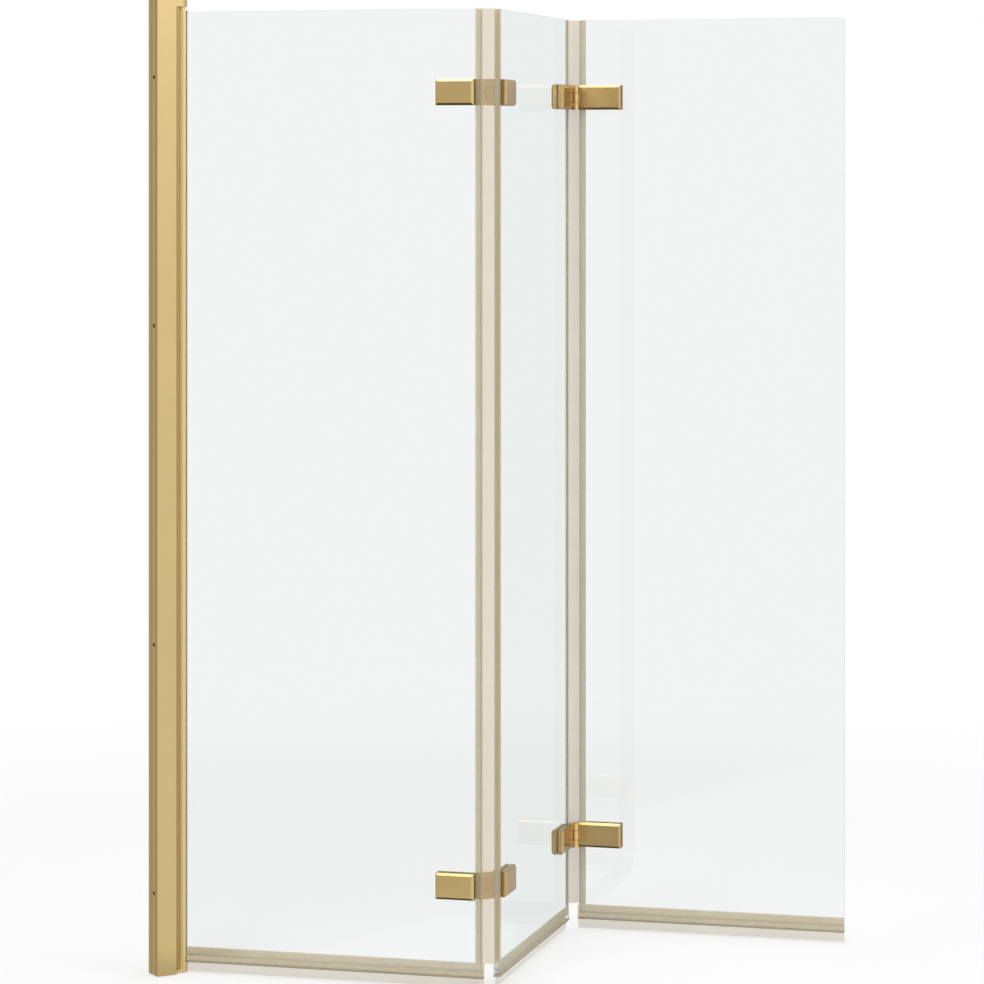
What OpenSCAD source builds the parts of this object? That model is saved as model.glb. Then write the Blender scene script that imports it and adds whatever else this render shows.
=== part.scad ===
// Folding bath screen: a wall profile with a swivel pivot and three glass panels
// joined by two folds. The wall is the plane x = 0, the bath rim is the plane z = 0,
// and the wall profile stands on the origin.

/* [Screen] */
// Height of the wall profile
screen_h = 1400; // [1200:10:1600]
// First panel, from the wall pivot to the first fold
panel_1_w = 449; // [440:1:560]
// Middle panel, from fold to fold
panel_2_w = 414; // [340:1:422]
// Last panel, from the second fold to its free edge
panel_3_w = 408.5; // [300:0.5:415]
// Angle of the first panel from square to the wall, towards -Y
swing = 45; // [5:1:80]
// Turn of the second panel from straight at the first fold
fold_1_turn = 90; // [20:1:160]
// Turn of the last panel from straight at the second fold
fold_2_turn = 90; // [20:1:160]

/* [Glass] */
// Thickness of the glass
glass_t = 6; // [5:0.5:8]
// Height of the lower glass edge above the rim
glass_bottom = 24; // [23:0.5:30]
// Radius of the glass corners
glass_corner_r = 3; // [1:0.5:6]
// Distance from a fold's pin line to the glass edge
fold_setback = 4.3; // [3:0.1:6]
// Diameter of the holes that the hinge bosses pass through
glass_hole_d = 14; // [12:0.5:18]

/* [Wall channel] */
// Width of the channel along the wall
channel_w = 30; // [28:0.5:34]
// Depth of the channel from the wall
channel_d = 30; // [26:0.5:32]
// Thickness of the channel's web and legs
channel_wall = 2; // [1.5:0.1:2.4]
// Diameter of the wall screw holes
wall_hole_d = 6; // [4:0.1:7]
// Distance of the outer wall holes from the channel's ends
outer_hole_end = 117; // [60:1:200]
// Distance of the inner wall holes from the channel's ends
inner_hole_end = 472; // [300:1:560]
// Distance of the line of wall holes from the middle of the back, towards -Y
hole_line = 3; // [0:0.5:4]
// Distance of the two drill guide grooves from the line of wall holes
guide_groove_y = 7; // [5.5:0.5:8]
// Width of a drill guide groove
guide_groove_w = 2; // [0.6:0.1:2.4]
// Depth of a drill guide groove
guide_groove_d = 0.8; // [0.3:0.1:1]

/* [Adjusting profile] */
// Sliding gap between the channel and the adjusting profile
slide_gap = 0.3; // [0.2:0.05:0.6]
// Wall thickness of the adjusting profile
adjust_wall = 1.8; // [1.4:0.1:2.2]
// Distance of the adjusting profile's open back from the wall
adjust_back = 8; // [5:0.5:12]
// Distance of the adjusting profile's shoulders from the wall
shoulder_x = 33.8; // [33:0.1:34.5]
// Width of the adjusting profile's nose
nose_w = 13; // [11:0.5:14]
// Gap between the adjusting profile's nose and the swivel profile
cradle_gap = 0.5; // [0.3:0.1:0.8]
// Outer radius of a screw port
port_r = 3; // [2.6:0.1:3.6]
// Distance of the screw ports from the wall
port_x = 20; // [16:0.5:24]
// Diameter of an adjusting screw
side_screw_d = 3.8; // [3:0.1:4.2]
// Distance of the adjusting screws from the wall
side_screw_x = 25; // [22:0.5:26]
// Reach of an adjusting screw behind the channel's outer face
side_screw_l = 7; // [5:0.5:9]
// Distance of the end adjusting screws from the middle one
side_screw_pitch = 460; // [300:10:500]

/* [Wall pivot] */
// Distance of the pivot axis from the wall
pivot_x = 46; // [44:0.5:50]
// Radius of the swivel profile
barrel_r = 8; // [7.5:0.1:9]
// Thickness of the glazing gasket
gasket_t = 1; // [0.8:0.1:1.2]
// Depth of the glass edge behind the pivot axis
glass_behind = 2; // [1:0.1:2.4]
// Radius of the screw port in the swivel profile
barrel_port_r = 1.5; // [1.2:0.1:1.7]
// Metal left between the swivel profile's port and its outside
barrel_port_wall = 1; // [0.7:0.1:1.2]
// Thickness of the bottom bracket
bracket_t = 4.5; // [4:0.1:6]
// Thickness of the thrust washer
washer_t = 0.5; // [0.4:0.1:1]
// Height of the lower pivot plug
plug_h = 11.5; // [10:0.5:13]
// Height of the groove between the lower plug and the swivel profile
plug_groove_h = 1.2; // [0.8:0.1:1.6]
// Depth of that groove
plug_groove_d = 0.8; // [0.4:0.1:1]
// Radius of the lower pivot pin
pivot_pin_r = 3; // [2.5:0.1:4]
// Thickness of the upper plug's disc
plug_disc_t = 1.5; // [1:0.1:2]
// Height of the open neck under the top cap
neck_h = 4.8; // [3:0.1:6]
// Radius of the upper pivot journal
journal_r = 4.5; // [3:0.1:5]
// Depth of the journal in the top cap
journal_depth = 12; // [8:0.5:13]
// Height of the top cap
cap_h = 15.7; // [14.5:0.1:20]
// How far the cap's nose stays behind the front of the swivel profile
cap_setback = 1.6; // [0:0.1:2]
// Radial clearance of the running fits
running_gap = 0.05; // [0.02:0.01:0.1]

/* [Hinges] */
// Height of a hinge
hinge_h = 37; // [32:1:44]
// Length of a hinge plate along the glass
plate_w = 56; // [48:1:66]
// Thickness of a hinge plate
plate_t = 8; // [7:0.1:8.4]
// Bevel round the outer face of a hinge plate
plate_bevel = 3.2; // [1.5:0.1:3.6]
// Thickness of the pads between plate and glass
pad_t = 1; // [0.8:0.1:1.4]
// Distance from a leaf's outer face to the fold's pin line
fold_relief = 1.9; // [1.6:0.1:3]
// Outer radius of a knuckle
knuckle_r = 5.5; // [4.8:0.1:6]
// Height of the middle knuckle
knuckle_mid_h = 13; // [11:0.5:16]
// Gap between two knuckles
knuckle_gap = 1; // [0.8:0.1:1.4]
// Radius of a hinge pin
hinge_pin_r = 2.5; // [2:0.1:3]
// Wall thickness of a hinge bush
bush_wall = 1; // [0.7:0.1:1.3]
// Gap between a leaf and the plane through the pin
leaf_gap = 0.3; // [0.2:0.1:0.5]
// Height of the lower hinges above the rim
lower_hinge_z = 143.5; // [110:0.5:200]
// Distance of the upper hinges below the top of the screen
upper_hinge_drop = 140; // [110:0.5:200]
// Thickness of a hinge cover's sides
cover_t = 1.5; // [1.2:0.1:1.8]
// Thickness of a hinge cover's face
cover_face_t = 3; // [2.6:0.1:3.6]
// Clearance inside a hinge cover
cover_gap = 0.2; // [0.1:0.05:0.4]
// Radius of a hinge boss
boss_r = 4.5; // [4:0.1:5]
// Radius of a clamp screw
clamp_screw_r = 2.5; // [2:0.1:3]
// Distance of a clamp screw from the end of its plate
clamp_screw_inset = 15; // [11:0.5:20]

/* [Seals] */
// Wall thickness of the seals
seal_wall = 1.2; // [0.8:0.1:1.5]
// Length of a fold seal's clip over the glass edge
clip_leg = 9.3; // [8:0.1:12]
// Thickness of the web across a fold
web_t = 0.8; // [0.5:0.1:1.2]
// Clearance between neighbouring soft pieces
soft_gap = 0.3; // [0.2:0.05:0.5]
// Height of the bottom seal's legs on the glass
bottom_leg_h = 12.5; // [9:0.5:16]
// Height of the bottom seal's hollow body
bottom_body_h = 9; // [7:0.5:12]
// Height of the wiping fin
fin_h = 14.2; // [9:0.1:14.5]
// Thickness of the wiping fin at its root
fin_t = 1.6; // [1:0.1:2.4]
// Sideways lean of the wiping fin's tip
fin_lean = 1.5; // [0:0.1:3]
// Width of the drip ledges on the bottom seal
drip_w = 0.9; // [0.4:0.1:1.5]
// Distance of the bottom seals from a fold's pin line
bottom_end_gap = 0.8; // [0.5:0.1:2]
// Start of the first bottom seal from the swivel profile
bottom_start_gap = 0.3; // [0.3:0.1:3]

/* [Hidden] */
$fn = 48;

gold = [0.80, 0.68, 0.45];
clear_glass = [0.86, 0.92, 0.92, 0.45];
champagne = [0.84, 0.78, 0.67];
steel = [0.72, 0.72, 0.74];
nylon = [0.90, 0.90, 0.88];

eps = 0.01;
// Overcut of a cut that leaves through a face
over = 1;

// Levels
cap_z = screen_h - cap_h;
barrel_top = cap_z - neck_h - plug_disc_t;
glass_top = barrel_top - gasket_t;
barrel_base = bracket_t + washer_t + plug_h;
seal_top = glass_bottom + bottom_leg_h;
seal_step = glass_bottom - bottom_body_h;
hinge_zs = [lower_hinge_z, screen_h - upper_hinge_drop];

// Wall profile
adjust_w = channel_w - 2 * channel_wall - 2 * slide_gap;
adjust_front = pivot_x - barrel_r - cradle_gap;
port_y = adjust_w / 2 - adjust_wall - port_r + 1;
port_hole_r = port_r - 1.3;
slot_w = glass_t + 2 * gasket_t;
barrel_port_x = barrel_r - barrel_port_wall - barrel_port_r;

// Hinges, seen from a fold: u runs into the panel, v towards the pin
half_glass = glass_t / 2;
pad_face = half_glass + pad_t;
plate_face = pad_face + plate_t;
pin_offset = plate_face + fold_relief;
clip_face = half_glass + seal_wall;
clip_base = fold_setback - seal_wall;
plate_near = clip_base + clip_leg + soft_gap;
plate_far = plate_near + plate_w;
plate_inset = cover_t + cover_gap;
// Outer face of the clamp plates, inside the covers
clamp_face = cover_face_t - plate_face;
screw_us = [plate_near + clamp_screw_inset, plate_far - clamp_screw_inset];
bush_r = hinge_pin_r + running_gap + bush_wall;
flange_t = knuckle_gap - 0.2;
web_r = norm([pin_offset + clip_face, clip_base]) + 0.12;
web_start = atan2(clip_base, pin_offset + clip_face) + 1;

// Places of the panels and of the two sides of each fold
module on_panel_1() {
    translate([pivot_x, 0, 0]) rotate([0, 0, -swing]) children();
}

module on_fold_1() {
    on_panel_1() translate([panel_1_w, pin_offset, 0]) children();
}

module on_panel_2() {
    on_fold_1() rotate([0, 0, fold_1_turn]) translate([0, -pin_offset, 0]) children();
}

module on_fold_2() {
    on_panel_2() translate([panel_2_w, -pin_offset, 0]) children();
}

module on_panel_3() {
    on_fold_2() rotate([0, 0, -fold_2_turn]) translate([0, pin_offset, 0]) children();
}

module fold_1_side_1() {
    on_panel_1() translate([panel_1_w, 0, 0]) mirror([1, 0, 0]) children();
}

module fold_1_side_2() {
    on_panel_2() children();
}

module fold_2_side_2() {
    on_panel_2() translate([panel_2_w, 0, 0]) rotate([0, 0, 180]) children();
}

module fold_2_side_3() {
    on_panel_3() mirror([0, 1, 0]) children();
}

// Shared shapes
module bar(from, to) {
    translate(from) cube(to - from);
}

module rounded_sheet(w, h, r) {
    union() {
        translate([r, 0]) square([w - 2 * r, h]);
        translate([0, r]) square([w, h - 2 * r]);
        for (x = [r, w - r], y = [r, h - r]) translate([x, y]) circle(r);
    }
}

// Upright rod from one level to another
module rod(r, z0, z1) {
    translate([0, 0, z0]) cylinder(h = z1 - z0, r = r);
}

// Rod across the glass, from one v to another
module cross_rod(r, v0, v1) {
    translate([0, v0, 0]) rotate([-90, 0, 0]) cylinder(h = v1 - v0, r = r);
}

// Countersunk screw that points along +Z, its head's face on z = 0
module countersunk(r, head_r, len) {
    union() {
        cylinder(h = head_r - r, r1 = head_r, r2 = r);
        cylinder(h = len, r = r);
    }
}

// Wall profile
module channel_section() {
    difference() {
        translate([0, -channel_w / 2]) square([channel_d, channel_w]);
        translate([channel_wall, -channel_w / 2 + channel_wall])
            square([channel_d, channel_w - 2 * channel_wall]);
        for (y = [-guide_groove_y, guide_groove_y])
            translate([-over, y - hole_line - guide_groove_w / 2])
                square([over + guide_groove_d, guide_groove_w]);
    }
}

module wall_holes() {
    for (z = [outer_hole_end, inner_hole_end], top = [false, true])
        translate([-over, -hole_line, top ? screen_h - z : z])
            rotate([0, 90, 0]) cylinder(h = channel_wall + 2 * over, d = wall_hole_d);
}

module side_screw_places() {
    for (k = [-1, 0, 1])
        translate([side_screw_x, channel_w / 2, screen_h / 2 + k * side_screw_pitch])
            rotate([90, 0, 0]) children();
}

module wall_channel() {
    color(gold) difference() {
        linear_extrude(screen_h) channel_section();
        wall_holes();
        side_screw_places() translate([0, 0, -eps])
            countersunk(side_screw_d / 2 + eps, side_screw_d + 2 * eps, channel_wall + over);
    }
}

module adjust_section() {
    difference() {
        union() {
            translate([adjust_back, -adjust_w / 2])
                square([shoulder_x - adjust_back, adjust_w]);
            translate([adjust_back, -nose_w / 2])
                square([adjust_front + cradle_gap - adjust_back, nose_w]);
        }
        difference() {
            union() {
                translate([adjust_back - over, -adjust_w / 2 + adjust_wall])
                    square([shoulder_x - adjust_wall - adjust_back + over,
                            adjust_w - 2 * adjust_wall]);
                translate([adjust_back, -nose_w / 2 + adjust_wall])
                    square([adjust_front - adjust_wall - adjust_back,
                            nose_w - 2 * adjust_wall]);
            }
            for (side = [-1, 1]) {
                translate([port_x, side * port_y]) circle(port_r);
            }
        }
        for (side = [-1, 1]) translate([port_x, side * port_y]) circle(port_hole_r);
        translate([pivot_x, 0]) circle(barrel_r + cradle_gap);
    }
}

module adjusting_profile() {
    color(gold) difference() {
        translate([0, 0, bracket_t]) linear_extrude(cap_z - bracket_t) adjust_section();
        side_screw_places() cylinder(h = side_screw_l + over, r = side_screw_d / 2 + eps);
    }
}

module adjusting_screws() {
    color(gold) side_screw_places()
        countersunk(side_screw_d / 2, side_screw_d, side_screw_l);
}

module end_screw_places(gap) {
    for (side = [-1, 1]) {
        translate([port_x, side * port_y, -gap]) children();
        translate([port_x, side * port_y, screen_h + gap]) mirror([0, 0, 1]) children();
    }
}

module end_screws() {
    color(steel) end_screw_places(0)
        countersunk(port_hole_r - eps, 2 * port_hole_r, cap_h + 10);
}

module end_screw_holes() {
    end_screw_places(eps)
        countersunk(port_hole_r, 2 * port_hole_r + 2 * eps, cap_h + over);
}

module top_cap() {
    nose_x = pivot_x + barrel_r - cap_setback - channel_w / 2;
    color(gold) difference() {
        union() {
            bar([channel_wall + slide_gap, -adjust_w / 2, cap_z],
                [channel_d + eps, adjust_w / 2, screen_h]);
            bar([channel_d, -channel_w / 2, cap_z], [nose_x, channel_w / 2, screen_h]);
            intersection() {
                translate([nose_x, 0, 0]) rod(channel_w / 2, cap_z, screen_h);
                bar([channel_d, -channel_w, cap_z], [pivot_x + channel_w, channel_w, screen_h]);
            }
        }
        translate([pivot_x, 0, 0])
            rod(journal_r + running_gap, cap_z - over, cap_z + journal_depth + 0.5);
        end_screw_holes();
    }
}

module bottom_bracket() {
    color(gold) difference() {
        union() {
            bar([channel_wall + slide_gap, -adjust_w / 2, 0],
                [shoulder_x, adjust_w / 2, bracket_t]);
            bar([shoulder_x - eps, -barrel_r, 0], [pivot_x, barrel_r, bracket_t]);
            translate([pivot_x, 0, 0]) rod(barrel_r, 0, bracket_t);
        }
        translate([pivot_x, 0, 0]) rod(pivot_pin_r + eps, -over, bracket_t + over);
        end_screw_holes();
    }
}

module bottom_pivot_pin() {
    color(steel) translate([pivot_x, 0, 0]) union() {
        rod(pivot_pin_r, 0.3, barrel_base - 3);
        translate([0, 0, barrel_base - 3])
            cylinder(h = 0.6, r1 = pivot_pin_r, r2 = pivot_pin_r - 0.6);
    }
}

module thrust_washer() {
    color(nylon) translate([pivot_x, 0, bracket_t]) difference() {
        rod(barrel_r - 0.8, 0, washer_t);
        rod(pivot_pin_r + 2 * running_gap, -over, washer_t + over);
    }
}

// Swivel profile, in the first panel's frame with the pivot at its origin
module swivel_section() {
    difference() {
        circle(barrel_r);
        translate([-glass_behind - gasket_t, -slot_w / 2]) square([2 * barrel_r, slot_w]);
        translate([-barrel_port_x, 0]) circle(barrel_port_r);
    }
}

module swivel_profile() {
    color(gold) on_panel_1() translate([0, 0, barrel_base])
        linear_extrude(barrel_top - barrel_base) swivel_section();
}

module port_spigot(z0, z1) {
    translate([-barrel_port_x, 0, 0]) rod(barrel_port_r - 2 * eps, z0, z1);
}

module top_pivot_plug() {
    color(gold) on_panel_1() union() {
        rod(barrel_r, barrel_top, barrel_top + plug_disc_t);
        rod(journal_r, barrel_top, cap_z + journal_depth);
        port_spigot(barrel_top - 12, barrel_top + eps);
    }
}

module bottom_pivot_plug() {
    top = barrel_base;
    neck = top - plug_groove_h;
    neck_r = barrel_r - plug_groove_d;
    color(gold) on_panel_1() difference() {
        union() {
            rod(barrel_r, bracket_t + washer_t, neck);
            rod(neck_r, neck - eps, top);
            port_spigot(top - eps, top + 12);
            intersection() {
                bar([-glass_behind - gasket_t + 0.1, -slot_w / 2 + 0.1, neck],
                    [barrel_r, slot_w / 2 - 0.1, glass_bottom - 0.5]);
                rod(neck_r, neck, glass_bottom);
            }
        }
        rod(pivot_pin_r + running_gap, bracket_t, top - 1.8);
    }
}

module glazing_gasket() {
    lip = sqrt(pow(barrel_r, 2) - pow(slot_w / 2, 2)) + 0.3;
    color(nylon) on_panel_1() difference() {
        bar([-glass_behind - gasket_t, -slot_w / 2, glass_bottom],
            [lip, slot_w / 2, glass_top]);
        bar([-glass_behind, -half_glass, glass_bottom - over],
            [lip + over, half_glass, glass_top + over]);
    }
}

// Glass, with boss holes at the distances given from its ends
module glass_sheet(u0, u1, holes) {
    difference() {
        translate([u0, 0, glass_bottom]) rotate([90, 0, 0])
            linear_extrude(glass_t, center = true)
                rounded_sheet(u1 - u0, glass_top - glass_bottom, glass_corner_r);
        for (u = holes, z = hinge_zs)
            translate([u, -half_glass - over, z])
                cross_rod(glass_hole_d / 2, 0, glass_t + 2 * over);
    }
}

module glass_panel_1() {
    color(clear_glass) on_panel_1()
        glass_sheet(-glass_behind, panel_1_w - fold_setback, [for (u = screw_us) panel_1_w - u]);
}

module glass_panel_2() {
    color(clear_glass) on_panel_2()
        glass_sheet(fold_setback, panel_2_w - fold_setback,
                    concat(screw_us, [for (u = screw_us) panel_2_w - u]));
}

module glass_panel_3() {
    color(clear_glass) on_panel_3() glass_sheet(fold_setback, panel_3_w, screw_us);
}

// Bottom seal section: x across the glass, y up
module bottom_seal_section() {
    fin_tip = 0.4 * fin_t;
    fin_z = seal_step - fin_h;
    difference() {
        polygon([
            [-clip_face, seal_top], [-half_glass, seal_top],
            [-half_glass, glass_bottom], [half_glass, glass_bottom],
            [half_glass, seal_top], [clip_face, seal_top],
            [clip_face, seal_step + drip_w], [clip_face + drip_w, seal_step],
            [fin_t / 2, seal_step], [fin_lean + fin_tip, fin_z],
            [fin_lean - fin_tip, fin_z], [-fin_t / 2, seal_step],
            [-clip_face - drip_w, seal_step], [-clip_face, seal_step + drip_w]
        ]);
        translate([-half_glass, seal_step + seal_wall])
            square([glass_t, bottom_body_h - 2 * seal_wall]);
    }
}

module bottom_seal(u0, u1) {
    translate([u0, 0, 0]) rotate([90, 0, 90]) linear_extrude(u1 - u0) bottom_seal_section();
}

module bottom_seal_1() {
    color(champagne) on_panel_1()
        bottom_seal(barrel_r + bottom_start_gap, panel_1_w - bottom_end_gap);
}

module bottom_seal_2() {
    color(champagne) on_panel_2() bottom_seal(bottom_end_gap, panel_2_w - bottom_end_gap);
}

module bottom_seal_3() {
    color(champagne) on_panel_3() bottom_seal(bottom_end_gap, panel_3_w);
}

// Fold seal: a clip on each glass edge and a web round the outside of the fold
module clip_section() {
    corner = seal_wall / 2;
    difference() {
        polygon([
            [clip_base + corner, -clip_face], [clip_base + clip_leg, -clip_face],
            [clip_base + clip_leg, clip_face], [clip_base + corner, clip_face],
            [clip_base, clip_face - corner], [clip_base, -clip_face + corner]
        ]);
        translate([fold_setback, -half_glass]) square([clip_leg, glass_t]);
    }
}

module fold_clip() {
    z0 = seal_top + soft_gap;
    color(champagne) translate([0, 0, z0]) linear_extrude(glass_top - z0) clip_section();
}

module fold_1_clip_panel_1() { fold_1_side_1() fold_clip(); }
module fold_1_clip_panel_2() { fold_1_side_2() fold_clip(); }
module fold_2_clip_panel_2() { fold_2_side_2() fold_clip(); }
module fold_2_clip_panel_3() { fold_2_side_3() fold_clip(); }

// Web round a fold's outer side, from the clip on one panel to the clip on the next
module fold_web(turn) {
    z0 = seal_top + soft_gap;
    color(champagne) translate([0, 0, z0]) rotate([0, 0, -90 - web_start])
        rotate_extrude(angle = turn + 2 * web_start, $fn = 96)
            translate([web_r, 0]) square([web_t, glass_top - z0]);
}

module fold_1_web() { on_fold_1() fold_web(fold_1_turn); }
module fold_2_web() { on_fold_2() mirror([0, 1, 0]) fold_web(fold_2_turn); }

// Hinges: a plate with an outline over u and v, bevelled above and below its outer face
module bevelled_plate() {
    h = hinge_h / 2;
    b = plate_bevel;
    intersection() {
        translate([0, 0, -h - over]) linear_extrude(hinge_h + 2 * over) children();
        rotate([90, 0, 90]) linear_extrude(plate_far + over) polygon([
            [0, -h], [plate_face - b, -h], [plate_face, b - h],
            [plate_face, h - b], [plate_face - b, h], [0, h]
        ]);
    }
}

// Leaf: over the clip to the knuckles, on its own side of both planes through the pin
module leaf_outline() {
    inner = clip_face + soft_gap;
    polygon([
        [leaf_gap, plate_face], [leaf_gap, pin_offset - knuckle_r], [knuckle_r - 1, inner],
        [plate_near, inner], [plate_near, pad_face], [plate_far, pad_face],
        [plate_far, plate_face - plate_bevel], [plate_far - plate_bevel, plate_face]
    ]);
}

module cover_outline() {
    v0 = half_glass + soft_gap;
    polygon([
        [plate_near, v0], [plate_far, v0],
        [plate_far, plate_face - plate_bevel], [plate_far - plate_bevel, plate_face],
        [plate_near + plate_bevel, plate_face], [plate_near, plate_face - plate_bevel]
    ]);
}

module at_pin() {
    translate([0, pin_offset, 0]) children();
}

// Levels of the knuckles, from the middle of the hinge
mid_top = knuckle_mid_h / 2;
end_low = mid_top + knuckle_gap;

module end_knuckles(r, grow) {
    for (flip = [0, 1]) mirror([0, 0, flip])
        at_pin() rod(r, end_low - grow, hinge_h / 2 + (grow > 0 ? over : 0));
}

module boss_places() {
    for (u = screw_us) translate([u, 0, 0]) children();
}

module leaf_body() {
    bevelled_plate() leaf_outline();
    boss_places() cross_rod(boss_r, -pad_face, pad_face + eps);
}

module leaf_screw_holes() {
    boss_places() cross_rod(clamp_screw_r + eps, -pad_face - over, plate_face - 2);
}

// Leaf with the two end knuckles
module end_leaf() {
    color(gold) difference() {
        union() {
            leaf_body();
            end_knuckles(knuckle_r, 0);
        }
        at_pin() rod(knuckle_r + 2 * leaf_gap, -end_low, end_low);
        at_pin() rod(hinge_pin_r + eps, -hinge_h, hinge_h);
        leaf_screw_holes();
    }
}

// Leaf with the middle knuckle
module mid_leaf() {
    color(gold) difference() {
        union() {
            leaf_body();
            at_pin() rod(knuckle_r, -mid_top, mid_top);
        }
        end_knuckles(knuckle_r + 2 * leaf_gap, knuckle_gap);
        at_pin() rod(bush_r + eps, -hinge_h, hinge_h);
        leaf_screw_holes();
    }
}

module clamp_plate() {
    z = hinge_h / 2 - plate_inset;
    color(steel) difference() {
        bar([plate_near + plate_inset, clamp_face, -z], [plate_far - plate_inset, -pad_face, z]);
        boss_places() translate([0, clamp_face - eps, 0]) rotate([-90, 0, 0])
            countersunk(clamp_screw_r + eps, 2 * clamp_screw_r + 2 * eps, plate_t);
    }
}

module hinge_cover() {
    z = hinge_h / 2 - cover_t;
    color(gold) difference() {
        mirror([0, 1, 0]) bevelled_plate() cover_outline();
        bar([plate_near + cover_t, clamp_face, -z], [plate_far - cover_t, 0, z]);
    }
}

module hinge_pads() {
    z = hinge_h / 2 - plate_inset;
    color(nylon) {
        difference() {
            bar([plate_near + plate_inset, half_glass, -z],
                [plate_far - plate_inset, pad_face, z]);
            boss_places() cross_rod(boss_r + eps, 0, pad_face + over);
        }
        difference() {
            union() {
                bar([plate_near + plate_inset, -pad_face, -z],
                    [plate_far - plate_inset, -half_glass, z]);
                boss_places() cross_rod(glass_hole_d / 2 - 0.1, -half_glass - eps, half_glass);
            }
            boss_places() cross_rod(boss_r + eps, -pad_face - over, half_glass + over);
        }
    }
}

module clamp_screws() {
    color(steel) boss_places() translate([0, clamp_face, 0]) rotate([-90, 0, 0])
        countersunk(clamp_screw_r, 2 * clamp_screw_r, plate_t + glass_t + pad_t);
}

module hinge_pin() {
    color(steel) at_pin() rod(hinge_pin_r, 0.6 - hinge_h / 2, hinge_h / 2 - 0.6);
}

// Two flanged bushes pressed into the middle knuckle from above and below
module hinge_bushes() {
    color(nylon) for (flip = [0, 1]) mirror([0, 0, flip]) at_pin() difference() {
        union() {
            rod(bush_r, 0.2, mid_top + flange_t);
            rod(knuckle_r - 0.6, mid_top, mid_top + flange_t);
        }
        rod(hinge_pin_r + running_gap, 0, mid_top + over + flange_t);
    }
}

module lower() { translate([0, 0, hinge_zs[0]]) children(); }
module upper() { translate([0, 0, hinge_zs[1]]) children(); }
module both() { for (z = hinge_zs) translate([0, 0, z]) children(); }

module upper_hinge_1_leaf_panel_1() { fold_1_side_1() upper() end_leaf(); }
module lower_hinge_1_leaf_panel_1() { fold_1_side_1() lower() end_leaf(); }
module upper_hinge_1_clamp_panel_1() { fold_1_side_1() upper() clamp_plate(); }
module lower_hinge_1_clamp_panel_1() { fold_1_side_1() lower() clamp_plate(); }
module upper_hinge_1_cover_panel_1() { fold_1_side_1() upper() hinge_cover(); }
module lower_hinge_1_cover_panel_1() { fold_1_side_1() lower() hinge_cover(); }
module hinge_pads_panel_1() { fold_1_side_1() both() hinge_pads(); }
module clamp_screws_panel_1() { fold_1_side_1() both() clamp_screws(); }
module hinge_1_pins() { fold_1_side_1() both() hinge_pin(); }

module upper_hinge_1_leaf_panel_2() { fold_1_side_2() upper() mid_leaf(); }
module lower_hinge_1_leaf_panel_2() { fold_1_side_2() lower() mid_leaf(); }
module upper_hinge_2_leaf_panel_2() { fold_2_side_2() upper() end_leaf(); }
module lower_hinge_2_leaf_panel_2() { fold_2_side_2() lower() end_leaf(); }
module upper_hinge_1_clamp_panel_2() { fold_1_side_2() upper() clamp_plate(); }
module lower_hinge_1_clamp_panel_2() { fold_1_side_2() lower() clamp_plate(); }
module upper_hinge_2_clamp_panel_2() { fold_2_side_2() upper() clamp_plate(); }
module lower_hinge_2_clamp_panel_2() { fold_2_side_2() lower() clamp_plate(); }
module upper_hinge_1_cover_panel_2() { fold_1_side_2() upper() hinge_cover(); }
module lower_hinge_1_cover_panel_2() { fold_1_side_2() lower() hinge_cover(); }
module upper_hinge_2_cover_panel_2() { fold_2_side_2() upper() hinge_cover(); }
module lower_hinge_2_cover_panel_2() { fold_2_side_2() lower() hinge_cover(); }

module hinge_pads_panel_2() {
    fold_1_side_2() both() hinge_pads();
    fold_2_side_2() both() hinge_pads();
}

module clamp_screws_panel_2() {
    fold_1_side_2() both() clamp_screws();
    fold_2_side_2() both() clamp_screws();
}

module hinge_1_bushes() { fold_1_side_2() both() hinge_bushes(); }
module hinge_2_pins() { fold_2_side_2() both() hinge_pin(); }

module upper_hinge_2_leaf_panel_3() { fold_2_side_3() upper() mid_leaf(); }
module lower_hinge_2_leaf_panel_3() { fold_2_side_3() lower() mid_leaf(); }
module upper_hinge_2_clamp_panel_3() { fold_2_side_3() upper() clamp_plate(); }
module lower_hinge_2_clamp_panel_3() { fold_2_side_3() lower() clamp_plate(); }
module upper_hinge_2_cover_panel_3() { fold_2_side_3() upper() hinge_cover(); }
module lower_hinge_2_cover_panel_3() { fold_2_side_3() lower() hinge_cover(); }
module hinge_pads_panel_3() { fold_2_side_3() both() hinge_pads(); }
module clamp_screws_panel_3() { fold_2_side_3() both() clamp_screws(); }
module hinge_2_bushes() { fold_2_side_3() both() hinge_bushes(); }

wall_channel();
adjusting_profile();
adjusting_screws();
top_cap();
bottom_bracket();
end_screws();
bottom_pivot_pin();
thrust_washer();
swivel_profile();
top_pivot_plug();
bottom_pivot_plug();
glazing_gasket();
glass_panel_1();
bottom_seal_1();
fold_1_clip_panel_1();
upper_hinge_1_leaf_panel_1();
lower_hinge_1_leaf_panel_1();
upper_hinge_1_clamp_panel_1();
lower_hinge_1_clamp_panel_1();
upper_hinge_1_cover_panel_1();
lower_hinge_1_cover_panel_1();
hinge_pads_panel_1();
clamp_screws_panel_1();
hinge_1_pins();
glass_panel_2();
bottom_seal_2();
fold_1_clip_panel_2();
fold_2_clip_panel_2();
upper_hinge_1_leaf_panel_2();
lower_hinge_1_leaf_panel_2();
upper_hinge_2_leaf_panel_2();
lower_hinge_2_leaf_panel_2();
upper_hinge_1_clamp_panel_2();
lower_hinge_1_clamp_panel_2();
upper_hinge_2_clamp_panel_2();
lower_hinge_2_clamp_panel_2();
upper_hinge_1_cover_panel_2();
lower_hinge_1_cover_panel_2();
upper_hinge_2_cover_panel_2();
lower_hinge_2_cover_panel_2();
hinge_pads_panel_2();
clamp_screws_panel_2();
hinge_1_bushes();
hinge_2_pins();
glass_panel_3();
bottom_seal_3();
fold_2_clip_panel_3();
upper_hinge_2_leaf_panel_3();
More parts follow.
